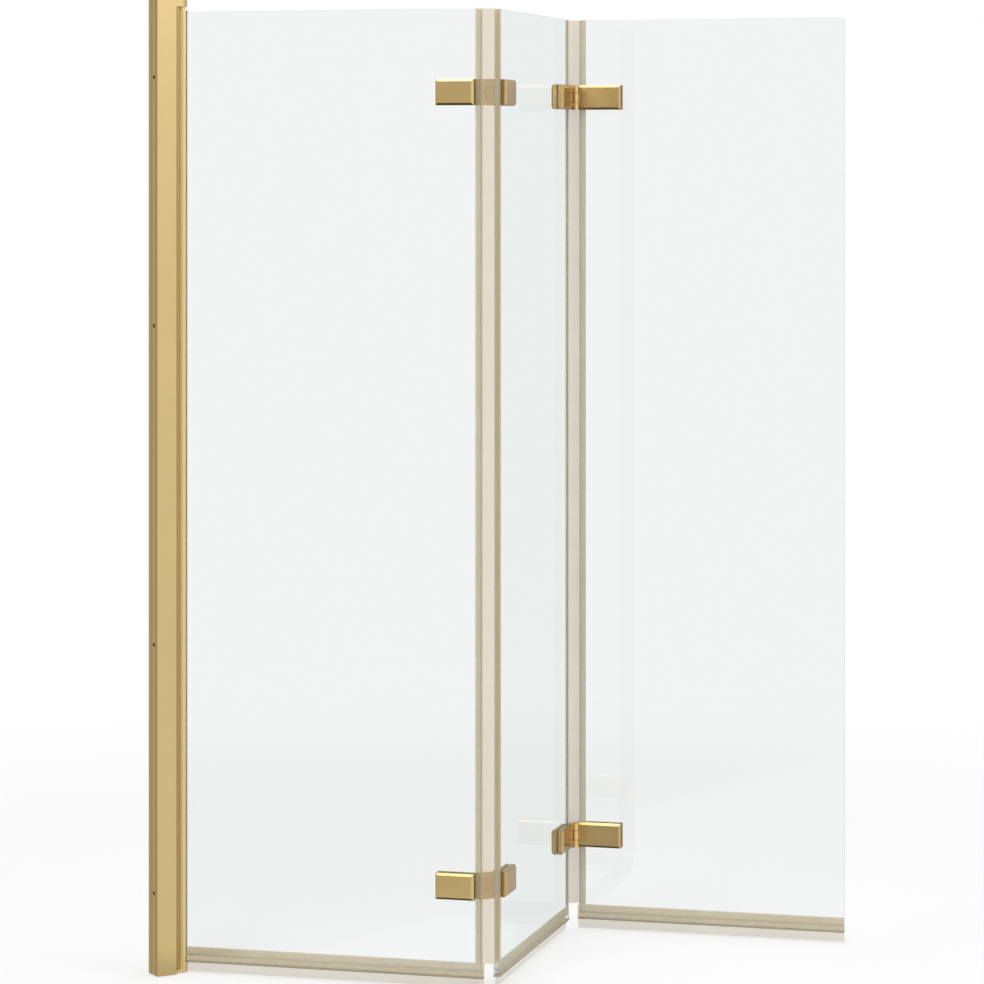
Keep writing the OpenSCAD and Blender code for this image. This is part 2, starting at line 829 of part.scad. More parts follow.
lower_hinge_2_leaf_panel_3();
upper_hinge_2_clamp_panel_3();
lower_hinge_2_clamp_panel_3();
upper_hinge_2_cover_panel_3();
lower_hinge_2_cover_panel_3();
hinge_pads_panel_3();
clamp_screws_panel_3();
hinge_2_bushes();
fold_1_web();
fold_2_web();
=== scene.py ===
import math

import bmesh
import bpy
from mathutils import Matrix, Vector


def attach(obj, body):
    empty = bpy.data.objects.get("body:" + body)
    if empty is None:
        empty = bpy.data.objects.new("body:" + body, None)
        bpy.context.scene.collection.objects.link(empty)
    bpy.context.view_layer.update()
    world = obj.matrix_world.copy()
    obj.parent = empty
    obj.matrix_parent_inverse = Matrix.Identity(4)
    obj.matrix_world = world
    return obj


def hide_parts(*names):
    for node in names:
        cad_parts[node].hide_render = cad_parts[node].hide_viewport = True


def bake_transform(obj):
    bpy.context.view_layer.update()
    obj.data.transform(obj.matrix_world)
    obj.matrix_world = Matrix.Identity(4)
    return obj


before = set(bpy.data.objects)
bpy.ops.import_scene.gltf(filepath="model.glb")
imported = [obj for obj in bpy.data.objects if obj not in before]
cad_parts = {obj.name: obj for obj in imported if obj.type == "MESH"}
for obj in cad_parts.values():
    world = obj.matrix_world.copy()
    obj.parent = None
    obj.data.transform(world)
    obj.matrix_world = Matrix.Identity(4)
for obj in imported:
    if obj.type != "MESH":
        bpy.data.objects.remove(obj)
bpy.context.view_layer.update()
scene = bpy.context.scene
mm = 0.001

# Sizes that the soft pieces share with the solids, in mm and degrees
screen = {
    "pivotX": 46.0,
    "panelLengths": (449.0, 414.0, 408.5),
    "headings": (-45.0, 45.0, -45.0),
    "pinOffset": 13.9,
    "glassBottom": 24.0,
    "glassTop": 1377.0,
    "halfGlass": 3.0,
    "barrelR": 8.0,
}


# Camera

view = {
    "place": (-2.2200, -4.8143, 1.1547),
    "turn": -30.0,
    "lens": 135.12,
    "sensor": 36.0,
    "shiftY": -0.3303,
    "farthest": 60.0,
}


def makeCamera():
    data = bpy.data.cameras.new("photoCamera")
    data.lens = view["lens"]
    data.sensor_width = view["sensor"]
    data.shift_y = view["shiftY"]
    data.clip_end = view["farthest"]
    camera = bpy.data.objects.new("photoCamera", data)
    camera.location = view["place"]
    camera.rotation_euler = (math.radians(90), 0, math.radians(view["turn"]))
    scene.collection.objects.link(camera)
    scene.camera = camera


makeCamera()
print("camera made")


# Shader building

class Wire:
    # a socket that can be used in a sum; each operation adds a Math node
    def __init__(self, paint, socket):
        self.paint = paint
        self.socket = socket

    def math(self, operation, *values):
        return self.paint.node("ShaderNodeMath", {"operation": operation}, dict(enumerate(values)))

    def __add__(self, other):
        return self.math("ADD", self, other)

    def __radd__(self, other):
        return self.math("ADD", other, self)

    def __sub__(self, other):
        return self.math("SUBTRACT", self, other)

    def __rsub__(self, other):
        return self.math("SUBTRACT", other, self)

    def __mul__(self, other):
        return self.math("MULTIPLY", self, other)

    def __rmul__(self, other):
        return self.math("MULTIPLY", other, self)

    def __truediv__(self, other):
        return self.math("DIVIDE", self, other)

    def __rtruediv__(self, other):
        return self.math("DIVIDE", other, self)

    def __pow__(self, other):
        return self.math("POWER", self, other)

    def __rpow__(self, other):
        return self.math("POWER", other, self)

    def __abs__(self):
        return self.math("ABSOLUTE", self)

    def largest(self, other):
        return self.math("MAXIMUM", self, other)

    def smallest(self, other):
        return self.math("MINIMUM", self, other)


class Paint:
    # builds the nodes of a material or a world
    def __init__(self, owner):
        self.owner = owner
        owner.use_nodes = True
        self.tree = owner.node_tree
        self.tree.nodes.clear()

    def node(self, kind, settings=None, inputs=None, output=0):
        made = self.tree.nodes.new(kind)
        for key, value in (settings or {}).items():
            if key == "stops":
                ramp = made.color_ramp.elements
                while len(ramp) < len(value):
                    ramp.new(0.5)
                for stop, (place, colour) in zip(ramp, value):
                    stop.position = place
                    stop.color = (*colour, 1)
            else:
                setattr(made, key, value)
        for key, value in (inputs or {}).items():
            self.feed(made.inputs[key], value)
        return Wire(self, made.outputs[output]) if made.outputs else made

    def feed(self, socket, value):
        if isinstance(value, Wire):
            self.tree.links.new(value.socket, socket)
        elif socket.type == "RGBA" and len(value) == 3:
            socket.default_value = (*value, 1)
        else:
            socket.default_value = value

    def vector(self, operation, *values, output=0):
        return self.node("ShaderNodeVectorMath", {"operation": operation},
                         dict(enumerate(values)), output)

    def dot(self, one, other):
        return self.vector("DOT_PRODUCT", one, other, output="Value")

    def ray(self, kind):
        return self.node("ShaderNodeLightPath", output="Is %s Ray" % kind)

    def inSight(self):
        # 1 for what is seen straight on or through glass
        return self.ray("Camera").largest(self.ray("Transmission"))

    def inMirror(self):
        # 1 for what a metal face shows, 0 for what is seen straight on or through glass
        depth = self.node("ShaderNodeLightPath", output="Glossy Depth")
        return self.ray("Glossy") * depth.smallest(1.0)

    def where(self, axis):
        # a coordinate of the piece in metres, as the CAD has it
        place = self.node("ShaderNodeTexCoord", output="Object")
        return self.node("ShaderNodeSeparateXYZ", {}, {0: place}, output=axis)

    def facing(self, way):
        # 1 where the surface looks along a direction of the piece, 0 across it
        return self.dot(self.node("ShaderNodeTexCoord", output="Normal"), way)

    def awayFrom(self, place, point):
        # the distance of a place from a point
        return self.vector("DISTANCE", place, point, output="Value")

    def between(self, value, low, high):
        # 0 at low, 1 at high, with soft ends
        return self.node("ShaderNodeMapRange", {"interpolation_type": "SMOOTHSTEP"}, {
            "Value": value, "From Min": low, "From Max": high})

    def place(self, scale=(1, 1, 1), turn=0):
        # object coordinates, turned about the upright and stretched
        place = self.node("ShaderNodeTexCoord", output="Object")
        return self.node("ShaderNodeMapping", {}, {
            "Vector": place, "Rotation": (0, 0, math.radians(turn)), "Scale": scale})

    def noise(self, vector, scale, detail=3.0, roughness=0.55):
        return self.node("ShaderNodeTexNoise", {}, {
            "Vector": vector, "Scale": scale, "Detail": detail, "Roughness": roughness})

    def blendColours(self, factor, low, high, mode="MIX"):
        return self.node("ShaderNodeMix", {"data_type": "RGBA", "blend_type": mode},
                         {0: factor, 6: low, 7: high}, output=2)

    def wornEdge(self, reach):
        # 0 on a face, 1 along its edges, where hands and cloths rub
        rounded = self.node("ShaderNodeBevel", {"samples": 4}, {"Radius": reach})
        plain = self.node("ShaderNodeNewGeometry", output="Normal")
        return self.between(1 - self.dot(rounded, plain), 0.02, 0.25)

    def bump(self, height, strength, distance):
        return self.node("ShaderNodeBump", {}, {
            "Height": height, "Strength": strength, "Distance": distance})

    def principled(self, inputs):
        return self.node("ShaderNodeBsdfPrincipled", {}, inputs)

    def mixShaders(self, factor, low, high):
        return self.node("ShaderNodeMixShader", {}, {0: factor, 1: low, 2: high})

    def output(self, surface, kind="ShaderNodeOutputMaterial"):
        self.node(kind, {}, {"Surface": surface})
        return self.owner


def newPaint(name):
    return Paint(bpy.data.materials.new(name))


lineDepth = 0.0001  # of brush lines, die lines and grain, in metres


def satinGold(name, finish, turn=0, along="z"):
    # fine brush lines run along the upright, or along the panel for the hinges
    paint = newPaint(name)
    fine = finish["lineScale"]
    stretch = (fine, fine, fine * 0.012) if along == "z" else (fine * 0.02, fine, fine)
    lines = paint.noise(paint.place(stretch, turn), 1.0, 2.0, 0.6)
    cloud = paint.noise(paint.place((1, 1, 1), turn), finish["cloudScale"], 3.0)
    tone = paint.blendColours(lines * 0.45 + cloud * 0.55, finish["low"], finish["high"])
    if "shadedWallSide" in finish:  # painted shade: the face against the wall is painted darker, for the shade it gets
        wallShadeMask = 1 - paint.between(paint.where("X"), *finish["wallShadeFrom"])
        tone = paint.blendColours(wallShadeMask, tone, finish["shadedWallSide"])
    if "front" in finish:  # painted light: the nose keeps a lighter painted shade than the rest, and its front is painted bright so the swivel profile beside it mirrors a lit face
        noseShadeMask = paint.between(paint.where("X"), *finish["noseFrom"])
        litFrontMask = paint.between(paint.facing((1, 0, 0)), 0.3, 0.7)
        tone = paint.blendColours(noseShadeMask, tone, finish["nose"])
        tone = paint.blendColours(litFrontMask, tone, finish["front"])
    if "knuckle" in finish:  # painted highlight: the knuckles round the pin are painted brighter than the plates
        fromPin = paint.awayFrom(paint.place((1, 1, 0)), finish["pin"])
        knuckleHighlightMask = 1 - paint.between(fromPin, *finish["knuckleEdge"])
        tone = paint.blendColours(knuckleHighlightMask, tone, finish["knuckle"])
    worn = paint.wornEdge(finish["edge"]) * (cloud * 0.6 + lines * 0.4)
    return paint.output(paint.principled({
        "Base Color": paint.blendColours(worn * finish["wear"], tone, finish["rubbed"]),
        "Metallic": 1.0,
        "Roughness": finish["roughness"] + (lines - 0.5) * finish["roughSpread"] - worn * 0.08,
        "Normal": paint.bump(lines, finish["bump"], lineDepth),
    }))


def grained(name, finish):
    # turned steel or moulded nylon, with an even fine grain
    paint = newPaint(name)
    grain = paint.noise(paint.place((finish["grain"],) * 3), 1.0, finish["detail"])
    return paint.output(paint.principled({
        "Base Color": paint.blendColours(grain, finish["low"], finish["high"]),
        "Metallic": finish["metallic"],
        "Roughness": finish["roughness"] + (grain - 0.5) * finish["spread"],
        "Normal": paint.bump(grain, finish["spread"], lineDepth),
    }))


def clearGlass(name, finish):
    # bends what is behind it and mirrors a little, more at a flat angle
    paint = newPaint(name)
    waves = paint.noise(paint.place(finish["waves"]), 1.0, 1.0)
    film = paint.noise(paint.place(finish["smears"]), 1.0, 3.0)
    bumps = paint.bump(waves, 0.02, 0.001)
    grazing = paint.node("ShaderNodeFresnel", {}, {"IOR": finish["ior"], "Normal": bumps})
    mirror = paint.principled({
        "Base Color": paint.blendColours(film, finish["mirrorLow"], finish["mirrorHigh"]),
        "Metallic": 1.0,
        "Roughness": finish["film"] + film * finish["film"],
        "Normal": bumps,
    })
    bent = paint.node("ShaderNodeBsdfRefraction", {}, {
        "Color": finish["tint"], "Roughness": 0.0, "IOR": finish["ior"], "Normal": bumps})
    trapped = paint.between(grazing, 0.96, 0.999)  # inside, past the critical angle
    share = (finish["mirror"] + grazing ** 3 * finish["grazing"]).largest(trapped)
    # the finely ground edges and the drilled holes scatter the light
    edge = 1 - paint.between(abs(paint.facing(finish["pane"])), *finish["paneFrom"])
    ground = paint.principled({
        "Base Color": paint.blendColours(film, finish["groundLow"], finish["groundHigh"]),
        "Roughness": finish["groundRoughness"]})
    glass = paint.mixShaders(edge, paint.mixShaders(share, bent, mirror), ground)
    clear = paint.node("ShaderNodeBsdfTransparent", {}, {"Color": finish["tint"]})
    return paint.output(paint.mixShaders(paint.ray("Shadow"), glass, clear))


def softSeal(name, finish, turn=0, along="z"):
    # soft extruded plastic: die lines along its length, milky where it is thick
    paint = newPaint(name)
    fine = finish["lineScale"]
    stretch = (fine, fine, fine * 0.01) if along == "z" else (fine * 0.01, fine, fine)
    lines = paint.noise(paint.place(stretch, turn), 1.0, 2.0)
    cloud = paint.noise(paint.place((1, 1, 1), turn), finish["cloudScale"], 4.0)
    tone = paint.blendColours(lines * 0.4 + cloud * 0.6, finish["low"], finish["high"])
    cover = finish["alpha"] + (cloud - 0.5) * finish["coverSpread"]
    if "coverAndShadeLevels" in finish:  # the ramp's red holds the cover and its green a painted shade, both halved
        top = finish["coverAndShadeLevels"][-1][0]
        stops = [(level / top, (share / 2, paintedShade / 2, 0))
                 for level, share, paintedShade in finish["coverAndShadeLevels"]]
        ramp = paint.node("ShaderNodeValToRGB", {"stops": stops}, {"Fac": paint.where("Z") / top})
        share = paint.node("ShaderNodeSeparateColor", {}, {0: ramp}, output="Red")
        paintedShade = paint.node("ShaderNodeSeparateColor", {}, {0: ramp}, output="Green") * 2
        cover = cover * share * 2
        tone = paint.node("ShaderNodeVectorMath", {"operation": "SCALE"}, {0: tone, "Scale": paintedShade})
    return paint.output(paint.principled({
        "Base Color": tone,
        "Alpha": cover,
        "Roughness": finish["roughness"] + (lines - 0.5) * finish["roughSpread"],
        "Coat Weight": finish["coat"],
        "Coat Roughness": finish["coatRoughness"],
        "Normal": paint.bump(lines, finish["bump"], lineDepth),
    }))


profileBrush = {"roughSpread": 0.14, "bump": 0.10, "lineScale": 2600.0, "cloudScale": 14.0}
goldFinish = {
    **profileBrush,
    "low": (0.62, 0.462, 0.208), "high": (0.70, 0.535, 0.255), "roughness": 0.30,
    # the wall side colour is painted shade on the face against the wall
    "shadedWallSide": (0.57, 0.400, 0.155), "wallShadeFrom": (0.0002, 0.0009),
    "edge": 0.0005, "wear": 0.6, "rubbed": (0.82, 0.70, 0.46),
}
# painted shade: the adjusting profile is painted dark for the shade in the recess between the channel
# and the swivel profile; its nose is less dark, and its front is painted bright, a painted light that
# the swivel profile mirrors
shadedInnerFinish = {
    **profileBrush,
    "low": (0.33, 0.232, 0.075), "high": (0.38, 0.265, 0.090), "roughness": 0.34,
    "nose": (0.48, 0.370, 0.165), "front": (0.95, 0.87, 0.66), "noseFrom": (0.0337, 0.0339),
    "edge": 0.0004, "wear": 0.0, "rubbed": (0.60, 0.48, 0.25),
}
plateFinish = {
    "low": (0.62, 0.450, 0.186), "high": (0.70, 0.520, 0.224),
    "roughness": 0.22, "roughSpread": 0.10, "bump": 0.06, "lineScale": 2800.0, "cloudScale": 40.0,
    "edge": 0.0005, "wear": 0.6, "rubbed": (0.84, 0.72, 0.48),
}
# painted shade: a darker copy of the plate gold for the plates of the second and third panels, for
# the shade they show
shadedPlateFinish = {
    **plateFinish,
    "low": (0.51, 0.350, 0.150), "high": (0.58, 0.405, 0.180), "rubbed": (0.76, 0.62, 0.38),
    # painted highlight on the knuckles round the pin
    "knuckle": (0.72, 0.520, 0.235), "knuckleEdge": (0.0056, 0.0064),
    "pin": (0.68572, -0.03458, 0.0),  # the pin of the second fold, at rest
}
# painted highlight: the swivel profile is a lighter copy of the profile gold, for the light on its
# lit side
litBarrelFinish = {**goldFinish, "low": (0.73, 0.550, 0.250), "high": (0.80, 0.620, 0.295)}
plugFinish = {**goldFinish, "low": (0.80, 0.575, 0.280), "high": (0.87, 0.640, 0.330)}
steelFinish = {
    "low": (0.46, 0.46, 0.47), "high": (0.62, 0.62, 0.63), "metallic": 1.0,
    "roughness": 0.32, "spread": 0.15, "grain": 900.0, "detail": 2.0,
}
nylonFinish = {
    "low": (0.70, 0.69, 0.65), "high": (0.80, 0.79, 0.75), "metallic": 0.0,
    "roughness": 0.45, "spread": 0.20, "grain": 700.0, "detail": 3.0,
}
bushFinish = {**nylonFinish, "low": (0.34, 0.235, 0.120), "high": (0.42, 0.300, 0.160)}
gasketFinish = {
    **nylonFinish, "low": (0.48, 0.40, 0.25), "high": (0.58, 0.49, 0.32), "roughness": 0.5,
}
glassFinish = {
    "tint": (0.955, 0.965, 0.964), "ior": 1.5, "film": 0.012, "mirror": 0.045, "grazing": 0.6,
    "mirrorLow": (0.92, 0.94, 0.94), "mirrorHigh": (0.97, 0.98, 0.98),
    "groundLow": (0.76, 0.83, 0.81), "groundHigh": (0.84, 0.89, 0.87), "groundRoughness": 0.5,
    "waves": (2.0, 2.0, 9.0), "smears": (14.0, 14.0, 5.0),
    "pane": (0.7071, 0.7071, 0.0), "paneFrom": (0.75, 0.92),  # across the pane, at rest
}
middleGlassFinish = {**glassFinish, "tint": (0.926, 0.949, 0.945), "pane": (0.7071, -0.7071, 0.0)}
sealFinish = {
    "roughness": 0.34, "roughSpread": 0.16, "coverSpread": 0.08, "coat": 0.25,
    "coatRoughness": 0.12, "bump": 0.12, "lineScale": 1500.0, "cloudScale": 18.0,
}
clipFinish = {**sealFinish, "low": (0.53, 0.440, 0.240), "high": (0.61, 0.515, 0.290), "alpha": 0.345}
webFinish = {
    **sealFinish, "low": (0.58, 0.450, 0.270), "high": (0.67, 0.530, 0.335), "alpha": 0.335,
    "roughness": 0.30, "coat": 0.35,
}
bottomFinish = {
    **sealFinish, "low": (0.53, 0.418, 0.196), "high": (0.57, 0.457, 0.224), "alpha": 0.355,
    # cover and painted shade against height: fin, drip ledge with a painted shadow line, hollow body,
    # crease with a little painted shade, legs
    "coverAndShadeLevels": ((0.0, 0.72, 1.05), (0.0145, 0.72, 1.05), (0.0148, 2.00, 0.38), (0.0160, 2.00, 0.40),
               (0.0167, 0.86, 1.0), (0.0235, 0.86, 1.0), (0.0255, 1.15, 0.90), (0.0275, 0.85, 1.0),
               (0.0355, 0.85, 1.05)),
}

paints = {
    "profileGold": satinGold("profileGold", goldFinish),
    # the inner gold carries painted shade and a painted bright front
    "shadedInnerGold": satinGold("shadedInnerGold", shadedInnerFinish),
    # the barrel gold is a painted highlight
    "litBarrelGold": satinGold("litBarrelGold", litBarrelFinish),
    "capGold": satinGold("capGold", goldFinish, along="u"),
    "plugGold": satinGold("plugGold", plugFinish, along="u"),
    "plateGoldFirst": satinGold("plateGoldFirst", plateFinish, 45, "u"),
    # the middle and last plate golds are painted shade
    "shadedPlateGoldMiddle": satinGold("shadedPlateGoldMiddle", shadedPlateFinish, -45, "u"),
    "shadedPlateGoldLast": satinGold("shadedPlateGoldLast", shadedPlateFinish, 45, "u"),
    "screwSteel": grained("screwSteel", steelFinish),
    "nylonWhite": grained("nylonWhite", nylonFinish),
    "bushBrown": grained("bushBrown", bushFinish),
    "gasketGrey": grained("gasketGrey", gasketFinish),
    "bathGlass": clearGlass("bathGlass", glassFinish),
    "middleGlass": clearGlass("middleGlass", middleGlassFinish),
    "clipPvc": softSeal("clipPvc", clipFinish),
    "webPvc": softSeal("webPvc", webFinish),
    "bottomPvcOuter": softSeal("bottomPvcOuter", bottomFinish, 45, "u"),
    "bottomPvcMiddle": softSeal("bottomPvcMiddle", bottomFinish, -45, "u"),
}
print("finishes made:", len(paints))


# Finishes on the carried-over solids

def dress(node, paint):
    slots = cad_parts[node].data.materials
    slots.clear()
    slots.append(paints[paint])


softEdges = {  # widths in mm
    "_cover_": 0.35, "_leaf_": 0.35, "top_cap": 0.5, "wall_channel": 0.35,
    "adjusting_profile": 0.2, "glass_panel": 0.5, "bottom_bracket": 0.3,
}
edgeRule = {"weld": 0.02, "steps": 2, "sharpFrom": 32.0, "faceWeight": 100}


def breakEdges(node, width):
    # the small radius that a tumbled or polished edge has
    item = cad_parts[node]
    weld = item.modifiers.new("joinFaces", "WELD")
    weld.merge_threshold = edgeRule["weld"] * mm
    bevel = item.modifiers.new("softEdge", "BEVEL")
    bevel.width = width * mm
    bevel.segments = edgeRule["steps"]
    bevel.limit_method = "ANGLE"
    bevel.angle_limit = math.radians(edgeRule["sharpFrom"])
    bevel.use_clamp_overlap = True
    even = item.modifiers.new("flatFaces", "WEIGHTED_NORMAL")  # big faces keep their own normals
    even.mode = "FACE_AREA"
    even.weight = edgeRule["faceWeight"]
    even.keep_sharp = True


def paintFor(node):
    if node.startswith("glass_panel"):
        return "middleGlass" if node == "glass_panel_2" else "bathGlass"
    if "bushes" in node:
        return "bushBrown"
    if "pads" in node or node == "glazing_gasket":
        return "gasketGrey"
    if node == "thrust_washer":
        return "nylonWhite"
    if node in ("end_screws", "bottom_pivot_pin") or "pins" in node or "clamp" in node:
        return "screwSteel"
    if "_leaf_" in node or "_cover_" in node:
        return {"1": "plateGoldFirst", "2": "shadedPlateGoldMiddle", "3": "shadedPlateGoldLast"}[node[-1]]
    return {"top_cap": "capGold", "bottom_bracket": "plugGold", "top_pivot_plug": "plugGold",
            "bottom_pivot_plug": "plugGold", "adjusting_profile": "shadedInnerGold",
            "swivel_profile": "litBarrelGold"}.get(node, "profileGold")


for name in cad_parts:
    dress(name, paintFor(name))
    for part, width in softEdges.items():
        if part in name:
            breakEdges(name, width)
print("solids dressed:", len(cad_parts))


# Places of the panels and of the two sides of each fold, in mm

def turned(angle):
    return Matrix.Rotation(math.radians(angle), 4, "Z")


def moved(x, y, z=0):
    return Matrix.Translation((x, y, z))


offset = screen["pinOffset"]
lengths = screen["panelLengths"]
headings = screen["headings"]
turns = (headings[1] - headings[0], headings[2] - headings[1])
onPanel1 = moved(screen["pivotX"], 0) @ turned(headings[0])
onFold1 = onPanel1 @ moved(lengths[0], offset)
onPanel2 = onFold1 @ turned(turns[0]) @ moved(0, -offset)
onFold2 = onPanel2 @ moved(lengths[1], -offset)
onPanel3 = onFold2 @ turned(turns[1]) @ moved(0, offset)
flipU = Matrix.Diagonal((-1, 1, 1, 1))
flipV = Matrix.Diagonal((1, -1, 1, 1))
foldSides = {
    "fold_1_clip_panel_1": (onPanel1 @ moved(lengths[0], 0) @ flipU, "panel_1"),
    "fold_1_clip_panel_2": (onPanel2, "panel_2"),
    "fold_2_clip_panel_2": (onPanel2 @ moved(lengths[1], 0) @ turned(180), "panel_2"),
    "fold_2_clip_panel_3": (onPanel3 @ flipV, "panel_3"),
}


# Outlines and extrusions

sharpFrom = 34.0  # degrees between two faces


def roundCorners(corners, steps=4):
    # corners are (x, y, radius) and go round the outline
    points = []
    count = len(corners)
    for index, (x, y, radius) in enumerate(corners):
        here = Vector((x, y))
        if radius <= 0:
            points.append(here)
            continue
        before = Vector(corners[index - 1][:2]) - here
        after = Vector(corners[(index + 1) % count][:2]) - here
        reach = min(radius, before.length * 0.48, after.length * 0.48)
        start = here + before.normalized() * reach
        end = here + after.normalized() * reach
        for step in range(steps + 1):
            t = step / steps
            points.append(start * (1 - t) ** 2 + here * 2 * t * (1 - t) + end * t * t)
    return points


def extrude(name, loops, place, low, high, along="z"):
    # loops are closed outlines, the first one outside; place is in mm, the mesh in metres
    mesh = bpy.data.meshes.new(name)
    build = bmesh.new()
    edges = []
    for loop in loops:
        verts = [build.verts.new((point[0], point[1], 0)) for point in loop]
        edges += [build.edges.new((verts[i - 1], verts[i])) for i in range(len(verts))]
    bmesh.ops.triangle_fill(build, use_beauty=True, use_dissolve=False, edges=edges)
    ends = list(build.faces)
    spread = bmesh.ops.extrude_face_region(build, geom=ends)
    top = [part for part in spread["geom"] if isinstance(part, bmesh.types.BMVert)]
    bmesh.ops.translate(build, verts=top, vec=(0, 0, 1))
    for vert in build.verts:
        x, y, t = vert.co
        reach = low + (high - low) * t
        local = Vector((x, y, reach)) if along == "z" else Vector((reach, x, y))
        vert.co = (place @ local) * mm
    bmesh.ops.recalc_face_normals(build, faces=build.faces)
    for face in build.faces:
        face.smooth = True
    for edge in build.edges:
        if len(edge.link_faces) == 2:
            edge.smooth = edge.calc_face_angle(0) < math.radians(sharpFrom)
    build.to_mesh(mesh)
    build.free()
    item = bpy.data.objects.new(name, mesh)
    scene.collection.objects.link(item)
    return item


def finishPiece(item, paint, nodes):
    item.data.materials.append(paints[paint])
    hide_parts(*nodes)


# Fold seals: a clip on each glass edge and a web round the outside of the fold

foldSeal = {
    "base": 3.1, "legEnd": 12.4, "outer": 4.2, "glassEdge": 4.3,
    "low": 36.8, "high": screen["glassTop"],
    "tipThin": 0.35,  # how much the legs thin out towards their tips
    "webInner": 18.50, "webOuter": 19.26, "webStart": 10.72, "webSteps": 40,
    "webEnd": 0.06, "swellOut": 0.17, "swellIn": 0.08,  # the thicker ends, in the clips
}


def clipLoop():
    s = foldSeal
    half = screen["halfGlass"]
    tip = s["outer"] - s["tipThin"]
    return roundCorners([
        (s["base"], -s["outer"] + 0.5, 0.7), (s["base"] + 0.6, -s["outer"], 0.6),
        (s["legEnd"] - 2.0, -s["outer"], 1.2), (s["legEnd"], -tip, 0.35),
        (s["legEnd"], -half, 0.3), (s["glassEdge"], -half, 0.15),
        (s["glassEdge"], half, 0.15), (s["legEnd"], half, 0.3),
        (s["legEnd"], tip, 0.35), (s["legEnd"] - 2.0, s["outer"], 1.2),
        (s["base"] + 0.6, s["outer"], 0.6), (s["base"], s["outer"] - 0.5, 0.7),
    ])


for name, (place, body) in foldSides.items():
    clip = extrude(name + "_soft", [clipLoop()], place, foldSeal["low"], foldSeal["high"])
    finishPiece(clip, "clipPvc", [name])
    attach(clip, body)


def webLoop(turn, side):
    # side is -1 where the web bulges towards -v and 1 where it bulges towards +v
    s = foldSeal
    span = turn + 2 * s["webStart"]
    outer, inner = [], []
    for step in range(s["webSteps"] + 1):
        t = step / s["webSteps"]
        angle = math.radians(-90 - s["webStart"] + span * t)
        swell = max(0.0, 1 - min(t, 1 - t) / s["webEnd"]) ** 0.5
        out = s["webOuter"] - 0.15 + s["swellOut"] * swell
        into = s["webInner"] + 0.1 - s["swellIn"] * swell
        way = Vector((math.cos(angle), math.sin(angle) * -side))
        outer.append(way * out)
        inner.append(way * into)
    return outer + inner[::-1]


webs = {
    "fold_1_web": (onFold1, turns[0], -1, "panel_1", "panel_2"),
    "fold_2_web": (onFold2, -turns[1], 1, "panel_2", "panel_3"),
}
for name, (place, turn, side, bodyA, bodyB) in webs.items():
    loop = webLoop(turn, side)
    web = extrude(name + "_soft", [loop], place, foldSeal["low"], foldSeal["high"])
    finishPiece(web, "webPvc", [name])
    first = place @ Vector((*loop[0], 0)) * mm
    last = place @ Vector((*loop[foldSeal["webSteps"]], 0)) * mm
    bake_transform(web)
print("fold seals made")


# Glazing gasket: a U round the glass edge in the slot of the swivel profile

gasket = {
    "back": -2.98, "glassEdge": -2.02, "lip": 7.2, "outer": 3.98, "play": 0.02,
    "low": screen["glassBottom"], "high": screen["glassTop"],
}


def gasketLoop():
    g = gasket
    inner = screen["halfGlass"] + g["play"]
    return roundCorners([
        (g["back"], -g["outer"], 0.4), (g["lip"] - 0.6, -g["outer"], 0.5),
        (g["lip"], -g["outer"] + 0.3, 0.3), (g["lip"], -inner, 0.2),
        (g["glassEdge"], -inner, 0.2), (g["glassEdge"], inner, 0.2),
        (g["lip"], inner, 0.2), (g["lip"], g["outer"] - 0.3, 0.3),
        (g["lip"] - 0.6, g["outer"], 0.5), (g["back"], g["outer"], 0.4),
    ])


edging = extrude("glazing_gasket_soft", [gasketLoop()], onPanel1, gasket["low"], gasket["high"])
finishPiece(edging, "gasketGrey", ["glazing_gasket"])
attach(edging, "panel_1")
print("glazing gasket made")


# Bottom seals

bottomSeal = {
    "legTop": 36.5, "step": 15.0, "floor": 16.2, "ceiling": 22.8, "ledge": 5.1,
    "outer": 4.2, "finRoot": 0.8, "finTip": 0.64, "finLow": 0.8, "lean": 1.5,
    "crease": 0.45,  # between the legs and the hollow body
}


def bottomLoops():
    s = bottomSeal
    half = screen["halfGlass"]
    glassLow = screen["glassBottom"]
    neck = s["outer"] - s["crease"]
    outline = roundCorners([
        (-s["outer"] + 0.35, s["legTop"], 0.4), (-half, s["legTop"], 0.3),
        (-half, glassLow, 0.15), (half, glassLow, 0.15),
        (half, s["legTop"], 0.3), (s["outer"] - 0.35, s["legTop"], 0.4),
        (s["outer"], s["legTop"] - 2.5, 1.2), (s["outer"], glassLow + 1.2, 0.8),
        (neck, glassLow + 0.2, 0.3), (s["outer"], glassLow - 1.0, 0.9),
        (s["outer"], s["step"] + 1.6, 0.8), (s["ledge"], s["step"] + 0.5, 0.3),
        (s["ledge"] - 0.1, s["step"], 0.25), (s["finRoot"] + 0.3, s["step"], 0.5),
        (s["finRoot"], s["step"] - 1.2, 0.5),
        (s["lean"] + s["finTip"], s["finLow"] + 0.1, 0.4),
        (s["lean"] - s["finTip"], s["finLow"], 0.4),
        (-s["finRoot"], s["step"] - 1.2, 0.5), (-s["finRoot"] - 0.3, s["step"], 0.5),
        (-s["ledge"] + 0.1, s["step"], 0.25), (-s["ledge"], s["step"] + 0.5, 0.3),
        (-s["outer"], s["step"] + 1.6, 0.8), (-s["outer"], glassLow - 1.0, 0.9),
        (-neck, glassLow + 0.2, 0.3), (-s["outer"], glassLow + 1.2, 0.8),
        (-s["outer"], s["legTop"] - 2.5, 1.2),
    ])
    hollow = roundCorners([
        (-half, s["floor"], 0.8), (half, s["floor"], 0.8),
        (half, s["ceiling"], 0.8), (-half, s["ceiling"], 0.8),
    ])
    return [outline, hollow]


